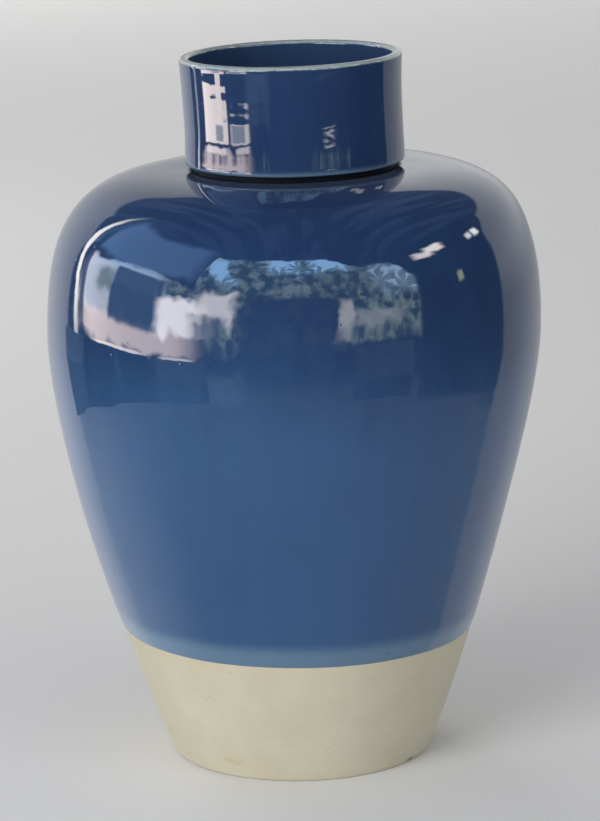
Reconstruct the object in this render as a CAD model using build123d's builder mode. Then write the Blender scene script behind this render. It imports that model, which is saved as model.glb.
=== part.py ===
from build123d import *
from math import cos, radians, sin
import os

# A large stoneware flower vase, thrown in sections and luted together, then glazed.
# Millimetres, +Z up, origin at the middle of the foot.  Every piece is turned about Z.

# --- the thrown body, measured on the clay -------------------------------------------
foot_radius = 85.4
foot_lean = 22.4            # degrees that the wall leans outwards as it leaves the foot
belly_radius = 159.5
belly_height = 281.6        # height of the widest place
shoulder_rise = 104.5       # from the widest place up to the level top of the shoulder
level_margin = 4.0          # level shoulder that shows round the collar
wall = 7.5

# Fullness of the outline: each control arm as a share of the stretch that it shapes.
foot_fullness = 0.272
lower_fullness = 0.203
upper_fullness = 0.870
shoulder_fullness = 0.635

# --- the base slab -------------------------------------------------------------------
slab_thickness = 11.0
foot_ring = 15.4            # width of the ring round the shallow turned recess
recess_depth = 2.0
foot_rounding = 2.0

# --- the collar ----------------------------------------------------------------------
groove_height = 5.5         # shoulder to the collar's lower edge, clay to clay
groove_depth = 5.2          # how far the collar stands out over its own foot
collar_radius = 70.0        # at the lower edge
collar_height = 67.6        # lower edge to lip
collar_waist = 0.9          # how far the side is hollowed between edge and lip
lip_flare = 0.9             # how far the lip stands out past the lower edge
lip_rounding = 1.8
edge_rounding = 1.2
collar_wall = 4.2           # at the lower edge
throat_wall = 6.0           # at the collar's foot
throat_height = 7.0         # upright throat above the shoulder
taper_height = 9.0          # throat opening out to the bore

# --- joints between the sections -----------------------------------------------------
seam_drop = 25.6            # how far under the widest place the two sections meet
lap = 4.0                   # height of the half-laps at the slab and at the seam
tongue_width = 2.6          # ring under the collar, let into the shoulder
tongue_depth = 3.0
corner_coil = 13.0          # radius of the coil pressed into the corner of the floor
seam_coil = 26.0            # radius of the flattened coil over the seam
seam_coil_proud = 3.0
slip = 0.1                  # skin of slip between a coil and the wall behind it

# --- glaze ---------------------------------------------------------------------------
glaze = 0.8
glaze_line = 85.5           # height of the glaze's lower edge
hem_height = 9.0            # thin band along that edge
hem_thickness = 0.4

# --- heights and radii that follow ---------------------------------------------------
seat_height = belly_height + shoulder_rise
edge_height = seat_height + groove_height
lip_height = edge_height + collar_height
level_radius = collar_radius + level_margin
recess_radius = foot_radius - foot_ring
collar_foot_radius = collar_radius - groove_depth
lip_radius = collar_radius + lip_flare
bore_radius = collar_radius - collar_wall
throat_radius = collar_foot_radius - throat_wall
seam_height = belly_height - seam_drop
tongue_radius = (throat_radius + collar_foot_radius) / 2
lean = radians(foot_lean)
beyond = 2 * (belly_radius + lip_height)        # well outside the vase


def lower_outline(growth=0.0):
    """Control points of the outline from foot to belly, moved outwards by growth."""
    base = Vector(foot_radius + growth / cos(lean), 0)
    widest = Vector(belly_radius + growth, belly_height)
    foot_arm = Vector(sin(lean), cos(lean)) * foot_fullness * belly_height
    belly_arm = Vector(0, lower_fullness * belly_height)
    return base, base + foot_arm, widest - belly_arm, widest


def radius_at(height, growth=0.0):
    """Radius of that outline at a height between foot and belly."""
    outline = Edge.make_bezier(*lower_outline(growth))
    low, high = 0.0, 1.0
    for _ in range(40):
        middle = (low + high) / 2
        if (outline @ middle).Y < height:
            low = middle
        else:
            high = middle
    return (outline @ low).X


inner_corner_radius = radius_at(slab_thickness, -wall)
foot_lap_radius = (radius_at(slab_thickness) + inner_corner_radius) / 2
seam_inner_radius = radius_at(seam_height, -wall)
seam_lap_radius = (radius_at(seam_height) + seam_inner_radius) / 2
seam_coil_centre = seam_inner_radius - seam_coil_proud + seam_coil


def block(inner, low, outer, high, mode=Mode.ADD):
    """Rectangle between two radii and two heights, in the sketch being drawn."""
    with Locations((inner, low)):
        Rectangle(outer - inner, high - low, align=(Align.MIN, Align.MIN), mode=mode)


def body_form(growth=0.0):
    """Half-section of the closed body, its surface moved outwards by growth."""
    lower = lower_outline(growth)
    base, widest = lower[0], lower[-1]
    level = Vector(level_radius, seat_height + growth)
    belly_arm = Vector(0, upper_fullness * (level.Y - widest.Y))
    shoulder_arm = Vector(shoulder_fullness * (widest.X - level.X), 0)
    with BuildSketch() as form:
        with BuildLine():
            Bezier(*lower)
            Bezier(widest, widest + belly_arm, level + shoulder_arm, level)
            Polyline(level, (0, level.Y), (0, 0), base)
        make_face()
    return form.sketch


def clay_wall():
    """Half-section of the body's wall, from the ground to the level shoulder."""
    with BuildSketch() as section:
        add(body_form())
        add(body_form(-wall), mode=Mode.SUBTRACT)
    return section.sketch


def hollow(inset=0.0):
    """Half-section of the space inside the clay, its surface moved inwards by inset."""
    with BuildSketch() as space:
        add(body_form(-wall - inset))
        block(0, 0, beyond, slab_thickness + inset, Mode.SUBTRACT)
        block(0, belly_height, throat_radius - inset, seat_height)
        with Locations((inner_corner_radius, slab_thickness)):
            Circle(corner_coil + inset, mode=Mode.SUBTRACT)
        with Locations((seam_coil_centre, seam_height)):
            Circle(seam_coil + inset, mode=Mode.SUBTRACT)
    return space.sketch


def slab_share():
    """What belongs to the slab: all below its top, and its upstand under the wall."""
    with BuildSketch() as share:
        block(0, 0, beyond, slab_thickness)
        block(0, 0, foot_lap_radius, slab_thickness + lap)
    return share.sketch


def upper_share():
    """What belongs to the upper section: all above the half-lap at the seam."""
    with BuildSketch() as share:
        block(0, seam_height + lap, beyond, beyond)
        block(seam_lap_radius, seam_height, beyond, beyond)
    return share.sketch


def collar_form():
    """Half-section of the clay collar with its foot and the tongue under it."""
    taper_low = seat_height + throat_height
    with BuildSketch() as form:
        with BuildLine():
            side = ThreePointArc(
                (collar_radius, edge_height),
                ((collar_radius + lip_radius) / 2 - collar_waist, edge_height + collar_height / 2),
                (lip_radius, lip_height),
            )
            Polyline(
                side @ 1,
                (bore_radius, lip_height),
                (bore_radius, taper_low + taper_height),
                (throat_radius, taper_low),
                (throat_radius, seat_height),
                (collar_foot_radius, seat_height),
                (collar_foot_radius, edge_height),
                side @ 0,
            )
        make_face()
        fillet(form.vertices().group_by(Axis.Y)[-1], lip_rounding)
        lower_edge = form.vertices().sort_by_distance((collar_radius, edge_height))[0]
        fillet(lower_edge, edge_rounding)
        with Locations((tongue_radius, seat_height - tongue_depth / 2)):
            Rectangle(tongue_width, tongue_depth)
    return form.sketch


# Base slab: the floor of the vase, with the turned foot ring under it.
with BuildPart() as base_slab:
    with BuildSketch(Plane.XZ):
        add(clay_wall())
        block(0, 0, inner_corner_radius, slab_thickness)
        add(slab_share(), mode=Mode.INTERSECT)
        block(0, 0, recess_radius, recess_depth, Mode.SUBTRACT)
    revolve(axis=Axis.Z)
    ground_edges = base_slab.edges().group_by(Axis.Z)[0]
    fillet(ground_edges.sort_by(SortBy.RADIUS)[-1], foot_rounding)

# Lower section: stands on the slab and laps its upstand, up to the seam.
with BuildPart() as lower_wall:
    with BuildSketch(Plane.XZ):
        add(clay_wall())
        add(slab_share(), mode=Mode.SUBTRACT)
        add(upper_share(), mode=Mode.SUBTRACT)
    revolve(axis=Axis.Z)

# Upper section: seam to throat, grooved on top for the collar's tongue.
with BuildPart() as upper_wall:
    with BuildSketch(Plane.XZ):
        add(clay_wall())
        add(upper_share(), mode=Mode.INTERSECT)
        block(0, belly_height, throat_radius, beyond, Mode.SUBTRACT)
        add(collar_form(), mode=Mode.SUBTRACT)
    revolve(axis=Axis.Z)

# Collar: a separately thrown ring, seated on the shoulder.
with BuildPart() as collar:
    with BuildSketch(Plane.XZ):
        add(collar_form())
    revolve(axis=Axis.Z)

# Luting coils, inside: one in the corner of the floor, one over the seam.
with BuildPart() as floor_coil:
    with BuildSketch(Plane.XZ):
        with Locations((inner_corner_radius, slab_thickness)):
            Circle(corner_coil)
        add(body_form(-wall - slip), mode=Mode.INTERSECT)
        block(0, 0, beyond, slab_thickness, Mode.SUBTRACT)
    revolve(axis=Axis.Z)

with BuildPart() as seam_band:
    with BuildSketch(Plane.XZ):
        with Locations((seam_coil_centre, seam_height)):
            Circle(seam_coil)
        add(body_form(-wall - slip), mode=Mode.INTERSECT)
    revolve(axis=Axis.Z)

# Outer glaze: from the thin hem up to the foot of the collar.
with BuildPart() as body_glaze:
    with BuildSketch(Plane.XZ):
        add(body_form(glaze))
        add(body_form(), mode=Mode.SUBTRACT)
        block(0, 0, beyond, glaze_line + hem_height, Mode.SUBTRACT)
        block(0, 0, collar_foot_radius, beyond, Mode.SUBTRACT)
    revolve(axis=Axis.Z)

# Hem: the thin, paler edge where the outer glaze stops above the bare clay.
with BuildPart() as glaze_hem:
    with BuildSketch(Plane.XZ):
        add(body_form(hem_thickness))
        add(body_form(), mode=Mode.SUBTRACT)
        block(0, glaze_line, beyond, glaze_line + hem_height, Mode.INTERSECT)
    revolve(axis=Axis.Z)

# Collar glaze: groove, side, lip and bore in one coat.
with BuildPart() as collar_glaze:
    with BuildSketch(Plane.XZ):
        add(collar_form())
        offset(amount=glaze)
        add(collar_form(), mode=Mode.SUBTRACT)
        block(0, 0, beyond, seat_height, Mode.SUBTRACT)
        block(tongue_radius, 0, beyond, seat_height + glaze, Mode.SUBTRACT)
    revolve(axis=Axis.Z)

# Liner glaze: the inside of the body, floor and throat, over both coils.
with BuildPart() as liner_glaze:
    with BuildSketch(Plane.XZ):
        add(hollow())
        add(hollow(glaze), mode=Mode.SUBTRACT)
    revolve(axis=Axis.Z)

pieces = {
    "base_slab": base_slab,
    "lower_wall": lower_wall,
    "upper_wall": upper_wall,
    "collar": collar,
    "floor_coil": floor_coil,
    "seam_band": seam_band,
    "body_glaze": body_glaze,
    "glaze_hem": glaze_hem,
    "collar_glaze": collar_glaze,
    "liner_glaze": liner_glaze,
}

os.makedirs("parts", exist_ok=True)
for name, piece in pieces.items():
    piece.part.label = name
    export_step(piece.part, f"parts/{name}.step")
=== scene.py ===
"""A large thrown stoneware flower vase: bare buff clay at the foot, blue glaze above.

Every piece is turned about the vase's axis from its own half-section, and all of them
share one set of small handmade irregularities, so the coats stay on their clay.
"""

from math import atan2, cos, degrees, pi, radians, sin, tan

import bmesh
import bpy
import numpy as np
from bpy.props import (
    FloatProperty,
    FloatVectorProperty,
    IntProperty,
    PointerProperty,
)
from bpy.types import Operator, Panel, PropertyGroup
from mathutils import Matrix, Vector


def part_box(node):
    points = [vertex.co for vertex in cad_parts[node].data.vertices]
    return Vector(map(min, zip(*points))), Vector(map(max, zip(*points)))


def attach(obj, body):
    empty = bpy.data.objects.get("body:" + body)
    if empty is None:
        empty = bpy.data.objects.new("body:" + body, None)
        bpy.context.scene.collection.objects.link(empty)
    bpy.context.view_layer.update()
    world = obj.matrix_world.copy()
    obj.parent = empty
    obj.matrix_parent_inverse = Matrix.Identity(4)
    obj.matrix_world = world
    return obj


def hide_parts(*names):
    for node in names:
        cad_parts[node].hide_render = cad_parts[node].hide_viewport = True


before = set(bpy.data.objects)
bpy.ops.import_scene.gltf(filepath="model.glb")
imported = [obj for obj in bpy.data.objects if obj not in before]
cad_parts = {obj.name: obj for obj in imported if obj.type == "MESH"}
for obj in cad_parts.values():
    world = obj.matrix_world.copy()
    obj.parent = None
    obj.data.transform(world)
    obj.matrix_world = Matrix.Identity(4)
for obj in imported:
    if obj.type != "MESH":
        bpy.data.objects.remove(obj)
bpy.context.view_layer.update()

bl_info = {
    "name": "Stoneware Flower Vase",
    "version": (1, 0, 0),
    "blender": (4, 5, 0),
    "location": "View3D > Sidebar > Vase",
    "description": "Builds a blue-glazed stoneware flower vase and a plain stage for it",
    "category": "Add Mesh",
}

# --- sizes that the packed clay gives ---
wall_low, wall_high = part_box("upper_wall")
collar_low, collar_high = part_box("collar")
BELLY_RADIUS = wall_high.x
SEAT_HEIGHT = wall_high.z              # level top of the shoulder, under the collar
SEAM_HEIGHT = wall_low.z
TONGUE_LOW = collar_low.z
LIP_RADIUS, LIP_HEIGHT = collar_high.x, collar_high.z
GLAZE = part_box("body_glaze")[1].z - SEAT_HEIGHT
SLAB_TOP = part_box("liner_glaze")[0].z
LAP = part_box("base_slab")[1].z - SLAB_TOP
COIL_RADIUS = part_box("floor_coil")[1].z - SLAB_TOP
BAND_LOW, BAND_HIGH = (end.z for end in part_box("seam_band"))
HEM_LOW, HEM_HIGH = (end.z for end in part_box("glaze_hem"))

TOUCHING = 1e-5                        # points nearer than this are one point
CORNER = radians(32)                   # faces that meet at more than this keep their edge
DOME_RISE = (0.340, 0.375)             # heights over which the shoulder's own waver sets in
SHIFT_RISE = (0.335, 0.390)            # heights over which the collar's shift sets in
SHIFT_FADES = 0.392                    # from here to the lip the shift fades again
NECK_HEIGHT = 0.387                    # the shoulder's tilt gives way to the lip's
INSIDE_TINT = 0.22                     # how far the inner glaze is lighter

# What each point of a half-section carries; all but the skirt stay on the mesh.
FINISH_MARKS = ("glaze_thin", "glaze_pool", "hem_tint")
MARKS = (*FINISH_MARKS, "skirt")


# --- settings that a user would change ---
def number(description, default, **more):
    return FloatProperty(description=description, default=default, **more)


def power(description, default):
    return number(description + ", in watts", default, min=0.0)


def length(description, default):
    return number(description, default, unit="LENGTH", subtype="DISTANCE", precision=5)


def share(description, default):
    return number(description, default, min=0.0, max=1.0, subtype="FACTOR", precision=3)


def angle(description, default):
    return number(description, radians(default), unit="ROTATION", subtype="ANGLE")


def colour(description, default):
    return FloatVectorProperty(
        description=description, default=default, size=3, min=0.0, max=1.0, subtype="COLOR",
    )


class VASE_PG_body(PropertyGroup):
    foot_radius: length("Radius of the clay where it stands", 0.0854)
    foot_lean: angle("How far the wall leans outwards above the foot", 22.4)
    belly_height: length("Height of the widest place", 0.2816)
    level_radius: length("Where the shoulder has become level", 0.0740)
    wall: length("Thickness of the thrown wall", 0.0075)
    foot_fullness: share("Reach of the foot's curve", 0.272)
    lower_fullness: share("Reach of the curve below the belly", 0.203)
    upper_fullness: share("Reach of the curve above the belly", 0.870)
    shoulder_fullness: share("Reach of the level shoulder", 0.635)
    recess_radius: length("Shallow turned recess under the foot", 0.0700)
    recess_depth: length("Depth of the recess under the foot", 0.0020)
    foot_rounding: length("Rounding of the foot's outer edge", 0.0020)
    seam_coil: length("Radius of the flattened coil over the seam", 0.0260)
    seam_coil_proud: length("How far that coil stands inwards", 0.0030)
    slip: length("Skin of slip between a coil and its wall", 0.0001)


class VASE_PG_collar(PropertyGroup):
    edge_height: length("Height of the collar's lower edge", 0.3916)
    edge_radius: length("Radius of the lower edge", 0.0700)
    foot_radius: length("Radius of the undercut foot of the collar", 0.0648)
    waist: length("How far the side is hollowed", 0.0009)
    bore_radius: length("Radius inside the collar", 0.0658)
    throat_radius: length("Radius of the throat below", 0.0588)
    throat_height: length("Upright throat above the shoulder", 0.0070)
    taper_height: length("Throat opening out to the bore", 0.0090)
    lip_rounding: length("Rounding of both lip edges", 0.0018)
    edge_rounding: length("Rounding of the lower edge", 0.0012)
    tongue_width: length("Ring that is let into the shoulder", 0.0026)


class VASE_PG_handmade(PropertyGroup):
    segments: IntProperty(
        description="Steps round each turned piece", default=240, min=24, max=360,
    )
    ring_depth: length("Depth of the faint throwing rings", 0.00010)
    ring_pitch: length("Spacing of the throwing rings", 0.0110)
    swell: length("Slow unevenness of the whole wall", 0.00045)
    swell_size: length("Size of that unevenness", 0.120)
    bow: length("How far the lower body bows to the left", 0.0026)
    bow_height: length("Height of the strongest bow", 0.165)
    bow_spread: length("Height over which the bow fades", 0.110)
    collar_shift: length("How far the collar's foot sits to the right", 0.0018)
    shoulder_tilt: angle("Tilt of the shoulder, right side up", 0.58)
    lip_tilt: angle("Tilt of the lip, right side up", 1.03)
    tilt_from: length("Height at which the tilt begins", 0.250)
    line_tilt: angle("Tilt of the glaze's lower edge, right side down", 0.85)
    line_wave: length("Waviness of the glaze's lower edge", 0.0009)


class VASE_PG_finish(PropertyGroup):
    deep_blue: colour("Glaze where it lies thick", (0.0105, 0.0275, 0.0800))
    # Also painted on the lower body, where it stands in for the light that falls there.
    mid_blue: colour("Glaze a little thinner", (0.0275, 0.0720, 0.1700))
    hem_blue: colour("Band along the lower edge", (0.0900, 0.1560, 0.2380))
    hem_full: length("Height over which the hem is palest", 0.0045)
    hem_gone: length("Height at which the hem has faded", 0.0205)
    thin_glaze: colour("Broken pale over an edge", (0.2700, 0.3150, 0.3050))
    # Painted shade: near-black glaze under the collar and in its groove, where the glaze also
    # pools.
    pooled_glaze: colour("Dark in the groove", (0.0040, 0.0050, 0.0080))
    buff_clay: colour("Bare fired clay", (0.4800, 0.4460, 0.3360))
    pale_clay: colour("Lighter patches in the clay", (0.5180, 0.4880, 0.3780))
    warm_clay: colour("Toasted under the glaze", (0.5000, 0.3900, 0.2300))
    speck: colour("Iron specks in clay and glaze", (0.0700, 0.0480, 0.0300))


class VASE_PG_stage(PropertyGroup):
    floor_colour: colour("Plain matt floor", (0.6850, 0.6800, 0.6780))
    floor_radius: length("Radius of the floor", 9.0)
    key_power: power("Soft lamp on the left", 139.0)
    fill_power: power("Lamp on the right", 29.0)
    lamp_size: length("Width of these two lamps", 2.4)
    back_power: power("Lamp over the far floor", 138.0)
    left_power: power("Lamp over the left floor", 8.5)
    room_light: number("Strength of the room's even light", 0.48, min=0.0)
    background: colour("Plain colour behind the vase", (0.42, 0.42, 0.43))
    lens: number("Focal length of the camera, in millimetres", 151.91, min=1.0)
    camera_back: length("Distance of the camera in front", 2.2067)
    camera_height: length("Height of the camera", 0.7374)
    camera_pitch: angle("How far the camera looks down", 13.06)
    camera_roll: angle("How far the camera leans", 1.02)
    camera_yaw: angle("How far the camera turns to the right", 0.0564)


HANDMADE = tuple(name for name in VASE_PG_handmade.__annotations__ if name != "segments")
SETTINGS = {
    "vase_body": VASE_PG_body,
    "vase_collar": VASE_PG_collar,
    "vase_handmade": VASE_PG_handmade,
    "vase_finish": VASE_PG_finish,
    "vase_stage": VASE_PG_stage,
}


def reader(group):
    """A function that gives one group of the scene's settings."""
    return lambda: getattr(bpy.context.scene, group)


body, collar, handmade, finish, stage = (reader(group) for group in SETTINGS)


# --- node trees written as arithmetic ---
def both_ways(operation):
    """A Wire's operator and its reflected form, as one kind of Math node."""

    def ahead(self, value):
        return self.nodes.math(operation, self, value)

    def reflected(self, value):
        return self.nodes.math(operation, value, self)

    return ahead, reflected


class Wire:
    """A socket of a node tree that Python arithmetic can use."""

    def __init__(self, nodes, socket):
        self.nodes, self.socket = nodes, socket

    def math(self, operation, *values):
        """A Math node with this value first."""
        return self.nodes.math(operation, self, *values)

    def other(self, name):
        """Another output of the same node."""
        return Wire(self.nodes, self.socket.node.outputs[name])

    __add__, __radd__ = both_ways("ADD")
    __sub__, __rsub__ = both_ways("SUBTRACT")
    __mul__, __rmul__ = both_ways("MULTIPLY")
    __truediv__, __rtruediv__ = both_ways("DIVIDE")
    __pow__, __rpow__ = both_ways("POWER")

    def __neg__(self):
        return self.math("MULTIPLY", -1.0)

    def rise(self, low, high):
        """0 up to low and 1 from high on, smooth between; falls if low is the larger."""
        return self.nodes.add(
            "ShaderNodeMapRange",
            {"interpolation_type": "SMOOTHSTEP"},
            {"Value": self, "From Min": low, "From Max": high},
        )

    def bell(self, centre, spread):
        """1 at centre, fading to both sides."""
        away = (self - centre) / spread
        return (-(away * away)).math("EXPONENT")


class Nodes:
    """Adds nodes to one tree."""

    def __init__(self, tree):
        self.tree = tree

    def add(self, kind, settings=None, values=None, output=0):
        """A node of a type: its settings first, then its sockets' values or links."""
        node = self.tree.nodes.new(kind)
        for name, value in (settings or {}).items():
            setattr(node, name, value)
        for key, value in (values or {}).items():
            if isinstance(value, Wire):
                self.tree.links.new(value.socket, node.inputs[key])
            else:
                node.inputs[key].default_value = value
        return Wire(self, node.outputs[output]) if len(node.outputs) else None

    def math(self, operation, *values):
        return self.add("ShaderNodeMath", {"operation": operation}, dict(enumerate(values)))

    def mix(self, factor, first, second, blend="MIX"):
        """Two colours mixed."""
        ends = [c if isinstance(c, Wire) else (*c, 1.0) for c in (first, second)]
        return self.add(
            "ShaderNodeMix",
            {"data_type": "RGBA", "blend_type": blend},
            {0: factor, 6: ends[0], 7: ends[1]},
            output=2,
        )

    def vector(self, operation, *values):
        return self.add("ShaderNodeVectorMath", {"operation": operation}, dict(enumerate(values)))

    def joined(self, x, y, z):
        return self.add("ShaderNodeCombineXYZ", None, {0: x, 1: y, 2: z})

    def axes(self, vector):
        """A vector's three parts."""
        x = self.add("ShaderNodeSeparateXYZ", None, {0: vector})
        return x, x.other("Y"), x.other("Z")

    def own_place(self):
        """The object's own coordinates."""
        return self.add("ShaderNodeTexCoord", output=3)

    def noise(self, place, scale, detail=2.0, roughness=0.5, distortion=0.0):
        return self.add("ShaderNodeTexNoise", None, {
            "Vector": place, "Scale": scale, "Detail": detail,
            "Roughness": roughness, "Distortion": distortion,
        })

    def cells(self, place, scale):
        """Distance to the nearest of many scattered points."""
        return self.add("ShaderNodeTexVoronoi", None, {"Vector": place, "Scale": scale})

    def bumps(self, *layers):
        """The normal under layers of (height, depth), each laid over the one before."""
        under = {}
        for height, depth in layers:
            values = {"Distance": depth, "Height": height, **under}
            surface = self.add("ShaderNodeBump", None, values)
            under = {"Normal": surface}
        return surface


# --- half-sections ---
def smooth(way):
    """A share of the way, kept between 0 and 1 and eased at both ends."""
    way = np.clip(way, 0, 1)
    return way ** 2 * (3 - 2 * way)


def distances(line, point):
    """How far each point of a line lies from one point."""
    return np.hypot(*(line - np.array(point)).T)


def heading(point, centre=(0, 0)):
    """The direction in which a point lies from a centre."""
    return atan2(point[1] - centre[1], point[0] - centre[0])


def arc(centre, radius, start, end, count):
    turn = np.linspace(start, end, count)
    return centre + radius * np.column_stack([np.cos(turn), np.sin(turn)])


def curve(ends, count=500):
    """Points along a cubic curve with four control points."""
    t = np.linspace(0.0, 1.0, count)[:, None]
    a, b, c, d = (np.array(p, float) for p in ends)
    return (1 - t) ** 3 * a + 3 * (1 - t) ** 2 * t * b + 3 * (1 - t) * t * t * c + t ** 3 * d


def spaced(points, step):
    """The same line, in equal steps of about the given length."""
    points = np.asarray(points, float)
    along = np.r_[0.0, np.cumsum(np.hypot(*np.diff(points, axis=0).T))]
    count = max(2, int(round(along[-1] / step)) + 1)
    at = np.linspace(0.0, along[-1], count)
    return np.column_stack([np.interp(at, along, points[:, k]) for k in (0, 1)])


def wall_line(growth, low, high, step=0.0025):
    """Up the body's surface, moved outwards by growth, from one height to another."""
    b = body()
    lean, tall = b.foot_lean, b.belly_height
    foot = np.array([b.foot_radius + growth / cos(lean), 0.0])
    widest = np.array([BELLY_RADIUS + growth, tall])
    level = np.array([b.level_radius, SEAT_HEIGHT + growth])
    foot_arm = np.array([sin(lean), cos(lean)]) * b.foot_fullness * tall
    lower_arm = np.array([0.0, b.lower_fullness * tall])
    upper_arm = np.array([0.0, b.upper_fullness * (level[1] - widest[1])])
    shoulder_arm = np.array([b.shoulder_fullness * (widest[0] - level[0]), 0.0])
    line = np.vstack([
        curve((foot, foot + foot_arm, widest - lower_arm, widest)),
        curve((widest, widest + upper_arm, level + shoulder_arm, level))[1:],
    ])
    ends = [(np.interp(z, line[:, 1], line[:, 0]), z) for z in (low, high)]
    between = line[(line[:, 1] > low) & (line[:, 1] < high)]
    if high >= level[1]:
        ends[1] = level
    return spaced(np.vstack([ends[0], between, ends[1]]), step)


def wall_radius(growth, height):
    a_little = 0.001
    return wall_line(growth, height, height + a_little)[0, 0]


def outwards(line):
    """Unit normals to the right of a line that runs upwards."""
    along = np.gradient(line, axis=0)
    along /= np.hypot(*along.T)[:, None]
    return np.column_stack([along[:, 1], -along[:, 0]])


def divided(points, step):
    """A line with long runs divided, its corners kept."""
    made = [points[0]]
    for start, end in zip(points[:-1], points[1:]):
        start, end = np.array(start, float), np.array(end, float)
        count = max(1, int(np.ceil(np.hypot(*(end - start)) / step)))
        made += [start + (end - start) * k / count for k in range(1, count + 1)]
    return np.array(made)


def rounded(corners, turn=radians(11)):
    """A line through corners (radius, height, rounding), each rounded by an arc."""
    made = []
    for k, (r, z, rounding) in enumerate(corners):
        here = np.array([r, z], float)
        if rounding <= 0 or k in (0, len(corners) - 1):
            made.append(here)
            continue
        back = np.array(corners[k - 1][:2]) - here
        ahead = np.array(corners[k + 1][:2]) - here
        back, ahead = back / np.hypot(*back), ahead / np.hypot(*ahead)
        opening = np.arccos(np.clip(back @ ahead, -1, 1))
        reach = rounding / tan(opening / 2)
        centre = here + (back + ahead) / np.hypot(*(back + ahead)) * rounding / sin(opening / 2)
        first, last = here + back * reach - centre, here + ahead * reach - centre
        start = heading(first)
        swing = (heading(last) - start + pi) % (2 * pi) - pi
        steps = max(2, int(np.ceil(abs(swing) / turn)))
        for s in range(steps + 1):
            a = start + swing * s / steps
            made.append(centre + rounding * np.array([cos(a), sin(a)]))
    return np.array(made)


def hem_tint(line):
    """How pale the glaze is: all of it low in the hem, none of it some way above."""
    low, high = finish().hem_full, finish().hem_gone
    return 1 - smooth((line[:, 1] - HEM_LOW - low) / (high - low))


def collar_line(growth):
    """Round the collar from its throat, over the lip, to its undercut foot."""
    c = collar()
    taper_low = SEAT_HEIGHT + c.throat_height
    taper_high = taper_low + c.taper_height
    slope = atan2(c.bore_radius - c.throat_radius, c.taper_height)
    drop = growth * tan(slope / 2)
    easing = 0.003
    line = rounded([
        (c.throat_radius - growth, SEAT_HEIGHT, 0),
        (c.throat_radius - growth, taper_low + drop, easing),
        (c.bore_radius - growth, taper_high + drop, easing),
        (c.bore_radius - growth, LIP_HEIGHT + growth, c.lip_rounding + growth),
        (LIP_RADIUS + growth, LIP_HEIGHT + growth, c.lip_rounding + growth),
        (c.edge_radius + growth, c.edge_height - growth, c.edge_rounding + growth),
        (c.foot_radius + growth, c.edge_height - growth, 0),
        (c.foot_radius + growth, SEAT_HEIGHT + growth, 0),
    ])
    line = divided(line, step=0.0025)
    up = np.clip((line[:, 1] - c.edge_height) / (LIP_HEIGHT - c.edge_height), 0, 1)
    outside = line[:, 0] > (c.bore_radius + c.edge_radius) / 2
    line[:, 0] -= np.where(outside, 4 * c.waist * up * (1 - up), 0)
    return line


def tongue_line():
    """Round the tongue under the collar, which is let into the shoulder."""
    c = collar()
    middle = (c.throat_radius + c.foot_radius) / 2
    half = c.tongue_width / 2
    return [
        (middle + half, SEAT_HEIGHT), (middle + half, TONGUE_LOW),
        (middle - half, TONGUE_LOW), (middle - half, SEAT_HEIGHT),
    ]


def coil_centres():
    """Where the two luting coils' arcs are centred: the floor's corner and the seam."""
    b = body()
    corner = [wall_radius(-b.wall, SLAB_TOP), SLAB_TOP]
    seam = [
        wall_radius(-b.wall, SEAM_HEIGHT) - b.seam_coil_proud + b.seam_coil, SEAM_HEIGHT,
    ]
    return np.array(corner), np.array(seam)


def liner_line(inset):
    """Inside the clay, moved inwards: floor, both coils, wall and throat."""
    b = body()
    corner, seam = coil_centres()
    floor_z, ceiling_z = SLAB_TOP + inset, SEAT_HEIGHT - b.wall - inset
    throat = collar().throat_radius - inset
    coil = COIL_RADIUS + inset
    wall = wall_line(-b.wall - inset, floor_z, ceiling_z, step=0.003)
    on_coil = distances(wall, corner) < coil
    away = distances(wall, seam)
    push = np.maximum(away, b.seam_coil + inset)
    above = (seam + (wall - seam) / away[:, None] * push[:, None])[np.argmin(on_coil):]
    round_coil = arc(corner, coil, pi, heading(above[0], corner), 14)
    round_coil[:, 1] = np.maximum(round_coil[:, 1], floor_z)
    floor_line = divided([(0, floor_z), (round_coil[0, 0], floor_z)], step=0.004)
    ceiling = divided([above[-1], (throat, ceiling_z), (throat, SEAT_HEIGHT)], step=0.003)
    return np.vstack([floor_line, round_coil[1:], above[1:], ceiling[1:]])


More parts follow.
